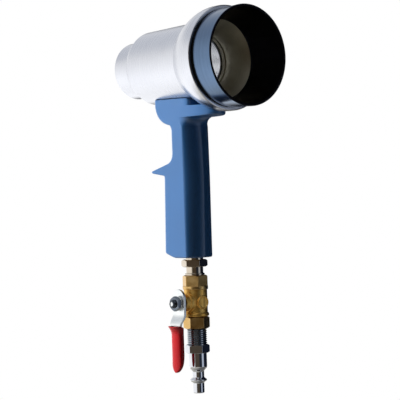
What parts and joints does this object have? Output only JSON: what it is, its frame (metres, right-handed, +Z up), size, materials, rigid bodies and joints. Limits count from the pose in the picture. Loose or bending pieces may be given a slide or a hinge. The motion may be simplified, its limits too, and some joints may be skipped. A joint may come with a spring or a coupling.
{
  "type": "paint drying air blower",
  "caption": "Hand-held venturi air blower for drying water-borne paint: turned barrel with a wide black intake, pistol handle, lever ball valve and quick plug.",
  "frame": {"origin": "middle of the grip, on the axis of the air column that runs through handle, valve and plug", "axes": "+Z up the air column towards the barrel, +X along the barrel towards the intake, -Y the side of the valve stem and lever"},
  "size_m": [0.1224, 0.0718, 0.2662],
  "materials": {
    "turned_aluminium": "fine turned, satin",
    "bell_aluminium": "turned, bare",
    "gloss_black": "turned, polished and black anodised",
    "black_rubber": "matt",
    "blue_polyamide": "satin moulding",
    "zinc_steel": "bright zinc plate",
    "nickel_plate": "nickel plate",
    "cast_brass": "cast and machined",
    "ptfe": "moulded",
    "red_vinyl": "dipped vinyl",
    "plated_steel": "bright plated steel"
  },
  "bodies": {
    "blower": {"barrel_shell": "turned_aluminium", "venturi_tube": "turned_aluminium", "front_seal": "black_rubber", "jet_bell": "bell_aluminium", "bell_seal": "black_rubber", "intake_ring": "gloss_black", "ring_band": "black_rubber", "handle_grip": "blue_polyamide", "air_tube": "zinc_steel", "tube_seal": "black_rubber", "inlet_bush": "cast_brass", "hex_nipple": "nickel_plate", "valve_body": "cast_brass", "valve_end_cap": "cast_brass", "ball_seat_upper": "ptfe", "ball_seat_lower": "ptfe", "thrust_washer": "ptfe", "stem_seal": "black_rubber", "coupler_plug": "plated_steel"},
    "valve_lever": {"lever": "zinc_steel", "lever_grip": "red_vinyl", "lever_washer": "zinc_steel", "lever_nut": "plated_steel", "valve_stem": "plated_steel", "valve_ball": "nickel_plate"}
  },
  "joints": [
    {"name": "valve_turn", "type": "hinge", "parent": "blower", "child": "valve_lever", "pos_m": [0, 0, -0.0767], "axis": [0, 1, 0], "range_deg": [0, 90]}
  ]
}
